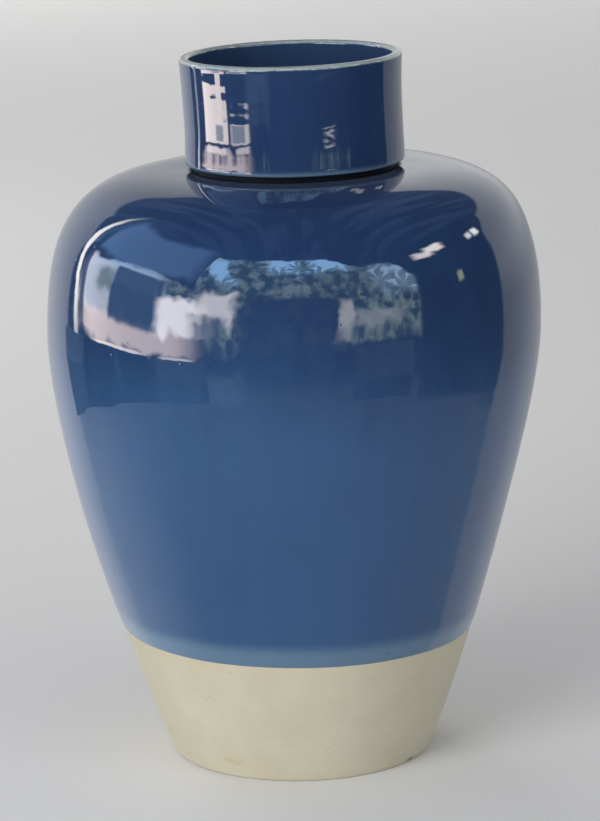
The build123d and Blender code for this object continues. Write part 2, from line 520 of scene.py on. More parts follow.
# --- turning a half-section round the axis ---
def turning_tree():
    """Turns a half-section about the axis and gives it the vase's handmade unevenness."""
    tree = bpy.data.node_groups.get("Turned Piece")
    if tree:
        return tree
    tree = bpy.data.node_groups.new("Turned Piece", "GeometryNodeTree")
    floats = (*HANDMADE, "wall_slope")
    sockets = {"Geometry": "Geometry", "Segments": "Int", "Closed": "Bool"}
    sockets.update(dict.fromkeys(floats, "Float"), Material="Material")
    for name, kind in sockets.items():
        tree.interface.new_socket(name, in_out="INPUT", socket_type="NodeSocket" + kind)
    tree.interface.new_socket("Geometry", in_out="OUTPUT", socket_type="NodeSocketGeometry")

    nodes = Nodes(tree)
    given = nodes.add("NodeGroupInput")
    profile, segments = given.other("Geometry"), given.other("Segments")
    size = {name: given.other(name) for name in floats}
    count = nodes.add(
        "GeometryNodeAttributeDomainSize", {"component": "MESH"}, {"Geometry": profile},
    )
    steps = segments + 1.0
    grid = nodes.add("GeometryNodeMeshGrid", None, {
        "Size X": 1.0, "Size Y": 1.0,
        "Vertices X": count + given.other("Closed"), "Vertices Y": steps,
    })
    index = nodes.add("GeometryNodeInputIndex")
    rounding = 1e-4                    # so that a whole quotient isn't taken for one less
    row = (index / steps + rounding).math("FLOOR")
    step = index - row * steps
    point = row.math("MODULO", count)

    def sampled(kind, value):
        """A value of the half-section at the point that this vertex comes from."""
        return nodes.add(
            "GeometryNodeSampleIndex",
            {"data_type": kind, "domain": "POINT"},
            {"Geometry": profile, "Value": value, "Index": point},
        )

    def named(name):
        return nodes.add(
            "GeometryNodeInputNamedAttribute", {"data_type": "FLOAT"}, {"Name": name},
        )

    place = nodes.add("GeometryNodeInputPosition")
    radius, _, height = nodes.axes(sampled("FLOAT_VECTOR", place))
    marks = {name: sampled("FLOAT", named(name)) for name in MARKS}
    turn = step.math("MODULO", segments) / segments * (2 * pi)
    east, north = turn.math("COSINE"), turn.math("SINE")

    # The glaze's lower edge tilts and waves, and follows the wall as it moves.
    waves = 1.3
    wave = nodes.noise(nodes.joined(east * waves, north * waves, 4.0), 1.0, 3.0) - 0.5
    fall = radius * east * size["line_tilt"]
    shift = marks["skirt"] * (wave * 2.0 * size["line_wave"] - fall)
    high = height + shift
    wide = radius + shift * size["wall_slope"]

    # Throwing rings and a slow swell move the wall in or out, but not at the axis.
    calm_radius, full_radius = 0.004, 0.05
    ring_place = nodes.joined(east * 0.5, north * 0.5, high / size["ring_pitch"])
    rings = (nodes.noise(ring_place, 1.0, 2.0) - 0.5) * size["ring_depth"] * 2.0
    flat_place = nodes.joined(wide * east, wide * north, high)
    swell_place = nodes.vector("DIVIDE", flat_place, size["swell_size"])
    swell = (nodes.noise(swell_place, 1.0, 1.0) - 0.5) * size["swell"] * 2.0
    out = wide + (rings + swell) * wide.rise(calm_radius, full_radius)
    elsewhere = nodes.vector("ADD", swell_place, (7.3, 2.1, 5.5))
    dome = nodes.noise(elsewhere, 2.6, 1.0) - 0.5
    lift = dome * size["swell"] * high.rise(*DOME_RISE)

    x, y = out * east, out * north
    bowed = high.bell(size["bow_height"], size["bow_spread"]) * size["bow"]
    seated = high.rise(*SHIFT_RISE) * high.rise(LIP_HEIGHT, SHIFT_FADES)
    tilt = (
        high.rise(size["tilt_from"], NECK_HEIGHT) * size["shoulder_tilt"]
        + high.rise(NECK_HEIGHT, LIP_HEIGHT) * (size["lip_tilt"] - size["shoulder_tilt"])
    )
    x_moved = x - bowed + seated * size["collar_shift"]
    made = nodes.add("GeometryNodeSetPosition", None, {
        "Geometry": grid, "Position": nodes.joined(x_moved, y, high + lift + x * tilt),
    })
    for name in FINISH_MARKS:
        made = nodes.add(
            "GeometryNodeStoreNamedAttribute",
            {"data_type": "FLOAT", "domain": "POINT"},
            {"Geometry": made, "Name": name, "Value": marks[name]},
        )
    sharp = nodes.add("GeometryNodeInputMeshEdgeAngle").math("GREATER_THAN", CORNER)
    material_given = given.other("Material")
    for kind, settings, values in (
        ("MergeByDistance", None, {"Distance": TOUCHING}),
        ("SetShadeSmooth", {"domain": "FACE"}, {"Shade Smooth": True}),
        ("SetShadeSmooth", {"domain": "EDGE"}, {"Selection": sharp, "Shade Smooth": False}),
        ("RealizeInstances", None, {}),
        ("SetMaterial", None, {"Material": material_given}),
    ):
        made = nodes.add("GeometryNode" + kind, settings, {"Geometry": made, **values})
    nodes.add("NodeGroupOutput", None, {"Geometry": made})
    return tree


def line_mesh(name, line, marks):
    """A half-section as a line of points, each with its named marks."""
    mesh = bpy.data.meshes.new(name)
    points = [(r, 0.0, z) for r, z in line]
    mesh.from_pydata(points, [(k, k + 1) for k in range(len(points) - 1)], [])
    for mark in MARKS:
        layer = mesh.attributes.new(mark, "FLOAT", "POINT")
        values = np.asarray(marks.get(mark, np.zeros(len(points))), np.float32)
        layer.data.foreach_set("value", values)
    return mesh


def placed(name, data):
    """A new object in the scene."""
    made = bpy.data.objects.new(name, data)
    bpy.context.scene.collection.objects.link(made)
    return made


def turned(name, line, slot, closed=True, **marks):
    """One piece of the vase, turned from its half-section.

    It rides on the vase's one body and stands for the CAD node of its name.
    """
    made = placed(name, line_mesh(name, line, marks))
    tree = turning_tree()
    modifier = made.modifiers.new("Turned Piece", "NODES")
    modifier.node_group = tree
    h = handmade()
    values = {
        "Segments": h.segments, "Closed": closed, "Material": material(slot),
        "wall_slope": (
            (wall_radius(0, HEM_HIGH) - wall_radius(0, HEM_LOW)) / (HEM_HIGH - HEM_LOW)
        ),
    }
    for key in HANDMADE:
        value = getattr(h, key)
        values[key] = tan(value) if key.endswith("_tilt") else value
    for item in tree.interface.items_tree:
        if item.in_out == "INPUT" and item.name in values:
            modifier[item.identifier] = values[item.name]
    shape = bpy.data.meshes.new_from_object(
        made.evaluated_get(bpy.context.evaluated_depsgraph_get())
    )
    made.modifiers.remove(modifier)
    made.data = shape
    shape.name = name
    work = bmesh.new()
    work.from_mesh(shape)
    bmesh.ops.recalc_face_normals(work, faces=work.faces)
    work.to_mesh(shape)
    work.free()
    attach(made, "root")
    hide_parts(name.replace("vase_", ""))


# --- finishes ---
def new_material(name):
    material = bpy.data.materials.new(name)
    material.use_nodes = True
    material.node_tree.nodes.clear()
    return material, Nodes(material.node_tree)


def finished(nodes, settings):
    shader = nodes.add("ShaderNodeBsdfPrincipled", None, settings)
    nodes.add("ShaderNodeOutputMaterial", None, {"Surface": shader})


def glaze_material(name):
    """Glossy blue glaze: drifting depth of colour, painted lighter low on the body, pale where
    thin, painted shade in the groove, pinholes, soft ripple.
    """
    made, nodes = new_material(name)
    f = finish()
    place = nodes.own_place()
    height = nodes.axes(place)[2]
    thin, pool_shade, tint = (
        nodes.add("ShaderNodeAttribute", {"attribute_name": mark}, output=2)
        for mark in FINISH_MARKS
    )

    # The coat drifts in depth of colour, and is painted lighter below the shoulder for the light
    # that falls more on the lower body than on the shaded shoulder.
    shaded_above, lit_below = 0.330, 0.215
    drift = nodes.noise(place, 7.0, 4.0, 0.55)
    streak = nodes.noise(nodes.vector("MULTIPLY", place, (60.0, 60.0, 5.0)), 1.0, 3.0, 0.6)
    grain = nodes.noise(place, 420.0, 3.0, 0.6)
    depth = (drift - 0.5) * 0.7 + (streak - 0.5) * 0.30 + (grain - 0.5) * 0.30
    depth = depth + height.rise(shaded_above, lit_below) * 0.75 + 0.12
    blue = nodes.mix(depth.rise(0.0, 1.0), f.deep_blue, f.mid_blue)

    # The thin pale hem fades upwards; over an edge the glaze breaks to grey-green.
    ragged = nodes.noise(place, 240.0, 4.0, 0.6) - 0.5
    blue = nodes.mix((tint + ragged * 0.25 * tint).rise(0.0, 1.0), blue, f.hem_blue)
    broken = thin + ragged * 0.9 * thin.rise(0.05, 0.5)
    blue = nodes.mix(broken.rise(0.15, 0.85), blue, f.thin_glaze)

    # Pinholes and iron specks.
    holes = nodes.cells(place, 150.0)
    sparse = nodes.noise(place, 46.0).rise(0.52, 0.68)
    hole = holes.rise(0.13, 0.05) * sparse
    speckled = nodes.noise(place, 23.0, 1.0).rise(0.50, 0.62)
    specks = nodes.cells(place, 95.0).rise(0.11, 0.04) * speckled
    shade = nodes.mix(specks * 0.6, blue, f.speck)
    shade = nodes.mix(hole * 0.35, shade, (0.03, 0.05, 0.08))

    # A slow ripple, a finer one, and the dents of the pinholes.
    slow = nodes.noise(place, 16.0, 1.0)
    ripple = nodes.noise(place, 95.0)
    surface = nodes.bumps((slow, 0.00022), (ripple, 0.000018), (1.0 - hole, 0.00005))
    rough = 0.020 + (grain - 0.5) * 0.02 + thin * 0.06 + hole * 0.15
    coat = nodes.add("ShaderNodeBsdfPrincipled", None, {
        "Base Color": shade, "Roughness": rough, "Normal": surface,
        "IOR": 1.52, "Specular IOR Level": 0.5,
        "Sheen Weight": 0.03, "Sheen Roughness": 0.45, "Sheen Tint": (0.85, 0.92, 1.0, 1.0),
    })
    # Painted shade: a dull, near-black coat laid under the collar and in its groove.
    pooled_shade_coat = nodes.add("ShaderNodeBsdfPrincipled", None, {
        "Base Color": (*f.pooled_glaze, 1.0), "Roughness": 0.55,
        "IOR": 1.52, "Specular IOR Level": 0.05,
    })
    both = nodes.add("ShaderNodeMixShader", None, {0: pool_shade, 1: coat, 2: pooled_shade_coat})
    nodes.add("ShaderNodeOutputMaterial", None, {"Surface": both})
    return made


# A small yellowish stain low on the front, and a dark chip on the foot's edge:
# middle, upright squeeze, reach, colour and strength.
MARKS_ON_FOOT = (
    ((-0.043, -0.0765, 0.012), 2.2, 0.009, (0.40, 0.30, 0.13), 0.35),
    ((0.070, -0.0500, 0.0018), 2.6, 0.0048, (0.085, 0.075, 0.060), 0.60),
)


def clay_material(name):
    """Buff stoneware: turning marks, mottling, specks, a toasted line under the glaze."""
    made, nodes = new_material(name)
    f = finish()
    place = nodes.own_place()
    height = nodes.axes(place)[2]
    mottle = nodes.noise(place, 28.0, 5.0, 0.6)
    cloud = nodes.noise(place, 9.0)
    patchy = (mottle * 0.6 + cloud * 0.5 - 0.05).rise(0.35, 0.65)
    base = nodes.mix(patchy, f.buff_clay, f.pale_clay)

    # The flash that the fire leaves just under the glaze.
    flash_drop, flash_spread = 0.001, 0.0035
    toasted = height.bell(HEM_LOW - flash_drop, flash_spread)
    toasted = toasted * nodes.noise(place, 20.0, 3.0).rise(0.2, 0.6)
    base = nodes.mix(toasted * 0.16, base, f.warm_clay)
    stain = nodes.noise(place, 13.0, 3.0, 0.6, 0.4).rise(0.62, 0.78)
    base = nodes.mix(stain * 0.12, base, f.warm_clay)

    turning = nodes.noise(nodes.vector("MULTIPLY", place, (9.0, 9.0, 520.0)), 1.0, 3.0, 0.6)
    fine = nodes.noise(place, 900.0, 3.0, 0.6)
    sandy = nodes.noise(place, 260.0, 3.0, 0.6)
    lines = (turning * 0.5 + sandy * 0.5).rise(0.62, 0.38)
    base = nodes.mix(lines * 0.05, base, f.buff_clay, "MULTIPLY")
    dotted = nodes.noise(place, 37.0).rise(0.50, 0.66)
    dots = nodes.cells(place, 170.0).rise(0.14, 0.06) * dotted
    base = nodes.mix(dots * 0.32, base, f.speck)

    ragged = nodes.noise(place, 180.0, 3.0, 0.6) - 0.5
    for middle, squeeze, reach, tone, strength in MARKS_ON_FOOT:
        gap = nodes.vector("SUBTRACT", place, middle)
        gap = nodes.vector("MULTIPLY", gap, (1.0, 1.0, squeeze))
        away = nodes.vector("LENGTH", gap).other("Value") + ragged * reach * 1.2
        base = nodes.mix(away.rise(reach, reach * 0.35) * strength, base, tone)

    surface = nodes.bumps(
        (turning, 0.00004), (sandy, 0.00008), (fine, 0.00003), (dots, 0.00006),
    )
    finished(nodes, {
        "Base Color": base, "Roughness": 0.80 + (sandy - 0.5) * 0.12, "Normal": surface,
        "IOR": 1.45, "Specular IOR Level": 0.3,
    })
    return made


def material(slot):
    """The finish for a slot of the record, made the first time that it is asked for."""
    name = "vase_" + slot
    ready = bpy.data.materials.get(name)
    if ready:
        return ready
    return clay_material(name) if slot == "bare_clay" else glaze_material(name)


# --- the pieces ---
class VASE_OT_clay_body(Operator):
    """Turn the clay body: the base slab and the lower and upper thrown sections"""

    bl_idname = "vase.clay_body"
    bl_label = "Clay Body"

    def execute(self, context):
        b, c = body(), collar()
        inner = -b.wall
        lap_radius = (wall_radius(0, SLAB_TOP) + wall_radius(inner, SLAB_TOP)) / 2
        seam_radius = (wall_radius(0, SEAM_HEIGHT) + wall_radius(inner, SEAM_HEIGHT)) / 2
        lap_top, seam_top = SLAB_TOP + LAP, SEAM_HEIGHT + LAP

        outside = wall_line(0, 0.0, SLAB_TOP, step=0.0012)
        foot = rounded([
            (b.recess_radius, b.recess_depth, 0), (b.recess_radius, 0, 0),
            (outside[0, 0], 0, b.foot_rounding), (*outside[3], 0),
        ])
        under = divided([(0, b.recess_depth), (b.recess_radius, b.recess_depth)], step=0.004)
        back = wall_line(inner, SLAB_TOP, lap_top)[::-1]
        slab = np.vstack([
            under, divided(foot, step=0.004)[1:], outside[4:], [(lap_radius, SLAB_TOP)],
            [(lap_radius, lap_top)], back, divided([back[-1], (0, SLAB_TOP)], step=0.006)[1:],
        ])
        turned("vase_base_slab", slab, "bare_clay", closed=False)

        lower = np.vstack([
            wall_line(0, SLAB_TOP, SEAM_HEIGHT), [(seam_radius, SEAM_HEIGHT)],
            [(seam_radius, seam_top)], wall_line(inner, lap_top, seam_top, step=0.005)[::-1],
            [(lap_radius, lap_top)], [(lap_radius, SLAB_TOP)],
        ])
        turned("vase_lower_wall", lower, "bare_clay")

        ceiling = wall_line(inner, seam_top, SEAT_HEIGHT - b.wall, step=0.005)
        upper = np.vstack([
            wall_line(0, SEAM_HEIGHT, SEAT_HEIGHT), tongue_line(),
            [(c.throat_radius, SEAT_HEIGHT), (c.throat_radius, SEAT_HEIGHT - b.wall)],
            ceiling[::-1], [(seam_radius, seam_top)], [(seam_radius, SEAM_HEIGHT)],
        ])
        turned("vase_upper_wall", upper, "bare_clay")
        return {"FINISHED"}


class VASE_OT_clay_collar(Operator):
    """Turn the clay collar that is seated on the shoulder"""

    bl_idname = "vase.clay_collar"
    bl_label = "Clay Collar"

    def execute(self, context):
        line = np.vstack([collar_line(0.0), tongue_line()])
        turned("vase_collar", line, "bare_clay")
        return {"FINISHED"}


class VASE_OT_luting_coils(Operator):
    """Press the two luting coils in: round the floor's corner, and over the seam inside"""

    bl_idname = "vase.luting_coils"
    bl_label = "Luting Coils"

    def execute(self, context):
        b = body()
        corner, seam = coil_centres()
        skin = -b.wall - b.slip

        wall = wall_line(skin, SLAB_TOP, SLAB_TOP + 2 * COIL_RADIUS, step=0.0015)
        wall = wall[distances(wall, corner) < COIL_RADIUS]
        face = arc(corner, COIL_RADIUS, heading(wall[-1], corner), pi, 12)
        turned("vase_floor_coil", np.vstack([wall, face[1:]]), "bare_clay")

        wall = wall_line(skin, BAND_LOW, BAND_HIGH, step=0.0015)
        wall = wall[distances(wall, seam) < b.seam_coil]
        start, end = (heading(wall[k], seam) % (2 * pi) for k in (-1, 0))
        face = arc(seam, b.seam_coil, start, end, 14)
        turned("vase_seam_band", np.vstack([wall, face[1:-1]]), "bare_clay")
        return {"FINISHED"}


class VASE_OT_body_glaze(Operator):
    """Coat the outside of the body, with the thin pale hem along the coat's lower edge"""

    bl_idname = "vase.body_glaze"
    bl_label = "Body Glaze"

    def execute(self, context):
        c = collar()
        top = SEAT_HEIGHT + GLAZE
        outer = wall_line(GLAZE, HEM_HIGH, top, step=0.0022)
        level = divided([(outer[-1, 0], top), (c.foot_radius, top)], step=0.0025)
        under = wall_line(0, HEM_HIGH, SEAT_HEIGHT, step=0.005)
        line = np.vstack([outer, level[1:], [(c.foot_radius, SEAT_HEIGHT)], under[::-1]])
        skirt_height, pool_shade_gap, pool_shade_fade = 0.04, 0.0005, 0.0025
        skirt = smooth(1 - (line[:, 1] - HEM_HIGH) / skirt_height)
        # Painted shade on the shoulder under the collar's overhang, where the glaze also pools.
        pool_shade = np.clip((c.edge_radius - pool_shade_gap - line[:, 0]) / pool_shade_fade, 0, 1)
        turned(
            "vase_body_glaze", line, "blue_glaze",
            hem_tint=hem_tint(line), skirt=skirt, glaze_pool=pool_shade,
        )

        # The hem starts in a small rounded bead and thickens up to the full coat.
        bead_height, bead_thickness = 0.16, 0.55
        wall = wall_line(0, HEM_LOW, HEM_HIGH, step=0.0006)
        up = (wall[:, 1] - HEM_LOW) / (HEM_HIGH - HEM_LOW)
        bead = bead_thickness * np.sqrt(1 - (1 - np.clip(up / bead_height, 0, 1)) ** 2)
        thick = GLAZE * (bead + (1 - bead_thickness) * smooth(up))
        face = wall + outwards(wall) * thick[:, None]
        face[-1] = outer[0]
        line = np.vstack([face, wall[::-1][:-1]])
        turned(
            "vase_glaze_hem", line, "pale_hem_glaze",
            hem_tint=hem_tint(line), skirt=np.ones(len(line)),
        )
        return {"FINISHED"}


class VASE_OT_collar_glaze(Operator):
    """Coat the collar: groove, side, lip and bore, pale where the glaze breaks on an edge"""

    bl_idname = "vase.collar_glaze"
    bl_label = "Collar Glaze"

    def execute(self, context):
        c = collar()
        outer, under = collar_line(GLAZE), collar_line(0.0)
        under[-1, 1] = SEAT_HEIGHT + GLAZE
        line = np.vstack([outer, under[::-1]])

        # Where the glaze breaks over an edge: the edge, its reach and how thin it gets.
        lower_edge = (c.edge_radius, c.edge_height)
        edges = (
            ((LIP_RADIUS, LIP_HEIGHT), 0.0015, 0.95),
            ((c.bore_radius, LIP_HEIGHT), 0.0014, 0.85),
            (lower_edge, 0.0013, 0.30),
            (((LIP_RADIUS + c.bore_radius) / 2, LIP_HEIGHT), 0.0040, 0.22),
        )
        thin = np.zeros(len(line))
        for edge, reach, most in edges:
            thin = np.maximum(thin, most * np.exp(-(distances(line, edge) / reach) ** 2))

        # Painted shade in the groove under the collar, where the glaze also pools; lighter in the
        # bore and where the lower edge turns under.
        r, z = line.T
        inner_gap, outer_gap, above_edge, pool_shade_fade = 0.004, 0.001, 0.0004, 0.0012
        edge_reach, edge_most = 0.0019, 0.9
        groove = (r > c.throat_radius + inner_gap) & (r < c.edge_radius - outer_gap)
        low = np.clip((c.edge_height + above_edge - z) / pool_shade_fade, 0, 1)
        pool_shade = np.where(groove, low, 0)
        bore = (r < c.bore_radius - GLAZE / 2) * INSIDE_TINT
        broken = edge_most * np.exp(-(distances(line, lower_edge) / edge_reach) ** 2)
        turned(
            "vase_collar_glaze", line, "blue_glaze",
            glaze_thin=thin, glaze_pool=pool_shade, hem_tint=np.maximum(bore, broken),
        )
        return {"FINISHED"}


class VASE_OT_liner_glaze(Operator):
    """Coat the inside of the body, over the floor and both coils, up to the throat"""

    bl_idname = "vase.liner_glaze"
    bl_label = "Liner Glaze"

    def execute(self, context):
        line = np.vstack([liner_line(GLAZE), liner_line(0.0)[::-1]])
        tint = np.full(len(line), INSIDE_TINT)
        turned("vase_liner_glaze", line, "liner_glaze", closed=False, hem_tint=tint)
        return {"FINISHED"}


# --- the stage ---
# What the gloss mirrors: a dim room, open at the front on a bright garden, with a pale
# backdrop behind the vase.  Azimuth 0 is the front and -90 the left, in degrees.  Each
# patch: name, azimuth, elevation, half width, half height, lean, softness, unevenness,
# colour and strength.
ROOM = (
    ("porch ceiling, lit from the garden", -86, 34, 36, 13, 0, 0.2, 2, (0.90, 1.65, 3.20), 0.9),
    ("pale wall, left", -107, 7, 11.5, 10, 0, 0.15, 2, (6.0, 6.4, 7.4), 0.9),
    ("trees, left", -100, 9, 6, 5, 0, 0.6, 4, (1.3, 1.9, 1.5), 0.85),
    ("paving, left", -82, -4.8, 33, 3.0, 0, 0.3, 1.8, (9.6, 8.0, 7.5), 0.85),
    ("house, left", -79.5, 7.5, 15.5, 10.5, 0, 0.08, 0.6, (0.35, 0.60, 1.10), 0.95),
    ("pale wall, middle left", -53, 3.5, 13, 6.5, 0, 0.25, 5, (16.0, 15.4, 15.6), 0.88),
    ("pale wall's far end", -37, 9, 9, 6.5, 0, 0.35, 5, (11.0, 10.6, 10.6), 0.85),
    ("bushes before the wall", -42, 0, 7, 4, 0, 0.6, 6, (0.5, 0.8, 0.8), 0.8),
    ("dark middle", -2, 1, 24, 13.5, 0, 0.22, 6, (0.12, 0.20, 0.36), 0.94),
    ("pale wall, right", 23.5, 4.5, 3.2, 6.5, 0, 0.5, 4, (6.5, 6.3, 6.0), 0.8),
    ("pale wall, far right", 40, 2, 11, 3.2, 0, 0.5, 4, (4.2, 4.5, 4.2), 0.7),
    ("paving, middle left", -36, -16.5, 12, 6, 0, 0.4, 3, (0.60, 0.85, 1.15), 0.8),
    ("lit floor, left", -122, -34, 40, 14, 0, 0.7, 2, (1.15, 1.35, 1.55), 0.6),
    ("dark room, right", 86, 8, 26.5, 31, 0, 0.06, 0.6, (0.04, 0.07, 0.12), 0.9),
    ("bright frame, left", -125, 15, 1.7, 23, 0.24, 0.5, 1.2, (10.0, 9.6, 9.2), 0.85),
    ("dark post, left", -118, 12, 2.0, 22, 0.15, 0.4, 1.0, (0.10, 0.16, 0.26), 0.9),
    ("lamp, right", 69, 26.8, 5.5, 2.4, 0, 0.5, 2.0, (13.0, 11.8, 11.0), 0.9),
    ("lamp's far end, right", 77.5, 29.3, 5.5, 2.4, 0, 0.5, 2.0, (15.0, 13.8, 13.0), 0.9),
    ("small lamp, right", 102.5, 25.3, 2.2, 1.8, 0, 0.6, 1.0, (10.0, 10.2, 10.5), 0.9),
    ("second lamp, right", 108.7, 24.6, 2.4, 2.1, 0, 0.6, 1.0, (12.0, 12.2, 12.5), 0.9),
    ("far lamp, right", 85.3, 9.5, 1.7, 1.6, 0, 0.6, 1, (4.6, 4.8, 2.8), 0.8),
    ("low window, left", -89.5, -10.8, 16.5, 1.4, 0, 0.08, 0.2, (13.0, 11.4, 10.6), 0.92),
    ("low window's bar, left", -82.5, -12.9, 3.4, 1.1, 0, 0.2, 0.2, (13.0, 11.4, 10.6), 0.92),
    ("low window's pane, left", -84.5, -10.5, 5.0, 0.75, 0, 0.2, 0.2, (2.8, 3.2, 3.6), 0.85),
    ("low window, middle", -58, -10.4, 11.5, 1.1, 0.06, 0.2, 0.3, (10.5, 9.6, 8.8), 0.88),
    ("low window's pane, middle", -60, -10.4, 8.0, 0.8, 0.06, 0.2, 0.3, (2.6, 3.0, 3.2), 0.88),
    ("low sill, left", -89.5, -8.4, 15.5, 0.5, 0, 0.3, 0.2, (12.0, 10.6, 9.8), 0.9),
    ("low sill, middle", -55.5, -8.4, 8, 0.45, 0, 0.3, 0.2, (10.0, 9.2, 8.6), 0.85),
    ("low glint, right", 37, -7.4, 6, 0.13, 0, 0.6, 0.25, (5.5, 5.4, 5.0), 0.85),
    ("second low glint, right", 37, -6.7, 5, 0.16, 0, 0.6, 0.25, (6.5, 6.4, 6.2), 0.85),
)
# Gaps between the palms where the sky shows, as in ROOM.
SKY_GAPS = (
    ("left", -39.5, 30.5, 5.5, 10.5, 0.55, 0.25, 3, (3.9, 7.2, 11.6), 0.95),
    ("middle", -6, 36, 8, 8, 0, 0.35, 3, (3.9, 7.2, 11.6), 0.95),
    ("right", 18, 36, 12, 8, 0, 0.3, 3, (3.9, 7.2, 11.6), 0.95),
    ("far right", 49, 19, 11, 7.5, 0.5, 0.35, 4, (4.6, 6.8, 9.6), 0.85),
    ("far left", -92, 17, 27, 7.5, 0, 0.25, 2, (5.0, 6.9, 9.2), 0.9),
)
# Palms in the garden: azimuth, elevation, radius, fronds.
PALMS = (
    (-24, 31, 12, 11), (-9, 25, 10, 9), (3, 33, 8, 11), (14, 24, 11, 9),
    (27, 22, 11, 7), (41, 17, 10, 7), (53, 13, 9, 7), (-36, 18, 9, 7),
)


def patched(nodes, made, patches, azimuth, elevation, wobble, flutter):
    """A colour with soft, uneven patches laid over it, each in its own direction."""
    for _, a, e, half_wide, half_high, lean, soft, uneven, patch, strength in patches:
        across = (azimuth - a + (elevation - e) * lean + wobble * uneven * 2.0) / half_wide
        up = (elevation - e + flutter * uneven * 2.0) / half_high
        mask = across.math("ABSOLUTE").rise(1.0 + soft, 1.0 - soft)
        mask = mask * up.math("ABSOLUTE").rise(1.0 + soft, 1.0 - soft)
        made = nodes.mix(mask * strength, made, patch)
    return made


def room_colour(nodes, direction):
    """The room's colour in a direction."""
    x, y, z = nodes.axes(direction)
    azimuth = x.math("ARCTAN2", -y) * degrees(1)
    elevation = z.math("ARCSINE") * degrees(1)
    elsewhere = nodes.vector("ADD", direction, (3.1, 0.0, 5.0))
    wobble = nodes.noise(direction, 9.0, 1.5) - 0.5
    flutter = nodes.noise(elsewhere, 9.0, 1.5) - 0.5

    # Floor of the room, the pale table, and the ceiling with its beams.
    made = nodes.mix(elevation.rise(-9.0, -22.0), (0.09, 0.13, 0.21), (0.34, 0.42, 0.52))
    made = nodes.mix(elevation.rise(-25.0, -38.0), made, (0.36, 0.44, 0.54))
    beams = nodes.noise(nodes.vector("MULTIPLY", direction, (14.0, 1.2, 1.2)), 1.0, 1.0)
    above = nodes.mix(beams.rise(0.45, 0.60), (0.06, 0.10, 0.18), (0.16, 0.27, 0.50))
    made = nodes.mix(elevation.rise(24.0, 44.0), made, above)

    # The garden: leaves, with sky between the palms, under the edge of the porch.
    arch = (
        15.0 + azimuth.bell(-82.0, 24.0) * 8.0 + azimuth.rise(-50.0, -45.0) * 26.0
        - azimuth.rise(12.0, 35.0) * 12.0 - azimuth.rise(46.0, 60.0) * 12.0 + wobble * 5.0
    )
    sides = azimuth.rise(-118.0, -115.0) * azimuth.rise(62.0, 58.0)
    low_edge = elevation + 5.0 + flutter * 5.0
    garden = sides * (elevation - arch).rise(1.0, -1.0) * low_edge.rise(-2.0, 2.0)
    leaf = nodes.noise(direction, 12.0, 2.0, 0.5)
    bright_leaf = nodes.mix(elevation.rise(18.0, 30.0), (2.0, 2.6, 2.2), (2.0, 3.2, 3.8))
    leaves = nodes.mix(leaf.rise(0.40, 0.62), (0.26, 0.44, 0.44), bright_leaf)
    view = patched(nodes, leaves, SKY_GAPS, azimuth, elevation, wobble, flutter)
    for a, e, reach, fronds in PALMS:
        across, up = (azimuth - a) / reach, (elevation - e) / reach
        away = (across * across + up * up) ** 0.5
        spin = up.math("ARCTAN2", across) * (fronds / 2) + wobble * 6.0
        frond = spin.math("SINE").math("ABSOLUTE")
        crown = (away - 0.20 - frond * 0.85).rise(0.25, -0.25) * up.rise(-0.75, -0.15)
        trunk = (across + flutter * 0.4).math("ABSOLUTE").rise(0.14, 0.04)
        palm = crown.math("MAXIMUM", trunk * up.rise(0.0, -0.1) * 0.8)
        shade = nodes.mix(leaf.rise(0.35, 0.65), (0.30, 0.52, 0.46), (1.2, 1.7, 1.3))
        view = nodes.mix(palm * 0.70, view, shade)
    made = nodes.mix(garden, made, view)
    made = patched(nodes, made, ROOM, azimuth, elevation, wobble, flutter)

    # The backdrop, a broad pale sheet with rounded upper corners.
    corner = elevation.rise(14.0, 31.0) ** 2.0 * 12.0
    aside = (azimuth + 8.0).math("ABSOLUTE") - corner
    top = elevation.rise(32.0, 29.5)
    right = nodes.mix(elevation.rise(-7.0, 6.0), (0.60, 0.62, 0.65), (1.02, 1.04, 1.06))
    sheet = nodes.mix(azimuth.rise(-60.0, 60.0), (1.02, 1.08, 1.18), right)
    far_right = nodes.mix(elevation.rise(-5.0, 8.0), (0.42, 0.43, 0.44), (0.94, 0.95, 0.96))
    behind = nodes.mix(azimuth.rise(-60.0, 60.0), (0.64, 0.65, 0.66), far_right)
    sheet = nodes.mix(azimuth.math("ABSOLUTE").rise(138.0, 170.0), sheet, behind)
    return nodes.mix(aside.rise(118.5, 121.5) * top, made, sheet)


def build_world():
    world = bpy.data.worlds.new("studio")
    bpy.context.scene.world = world
    world.use_nodes = True
    world.node_tree.nodes.clear()
    nodes = Nodes(world.node_tree)
    direction = nodes.add("ShaderNodeTexCoord", output=0)
    ray = nodes.add("ShaderNodeLightPath")
    s = stage()

    def background(shade, strength=1.0):
        return nodes.add("ShaderNodeBackground", None, {"Color": shade, "Strength": strength})

    mirrored = background(room_colour(nodes, direction))
    even = background((0.97, 0.98, 1.0, 1.0), s.room_light)
    seen = background((*s.background, 1.0))
    out = even
    for kind, other in (("Is Glossy Ray", mirrored), ("Is Camera Ray", seen)):
        out = nodes.add("ShaderNodeMixShader", None, {0: ray.other(kind), 1: out, 2: other})
    nodes.add("ShaderNodeOutputWorld", None, {"Surface": out})


def floor_material():
    """Plain and matt, very slightly uneven."""
    made, nodes = new_material("matt_floor")
    drift = 0.015
    faint = nodes.noise(nodes.own_place(), 1.3)
    low = tuple(c * (1 - drift) for c in stage().floor_colour)
    high = tuple(min(1.0, c * (1 + drift)) for c in stage().floor_colour)
    base = nodes.mix(faint, low, high)
    finished(nodes, {"Base Color": base, "Roughness": 0.9, "Specular IOR Level": 0.1})
    return made


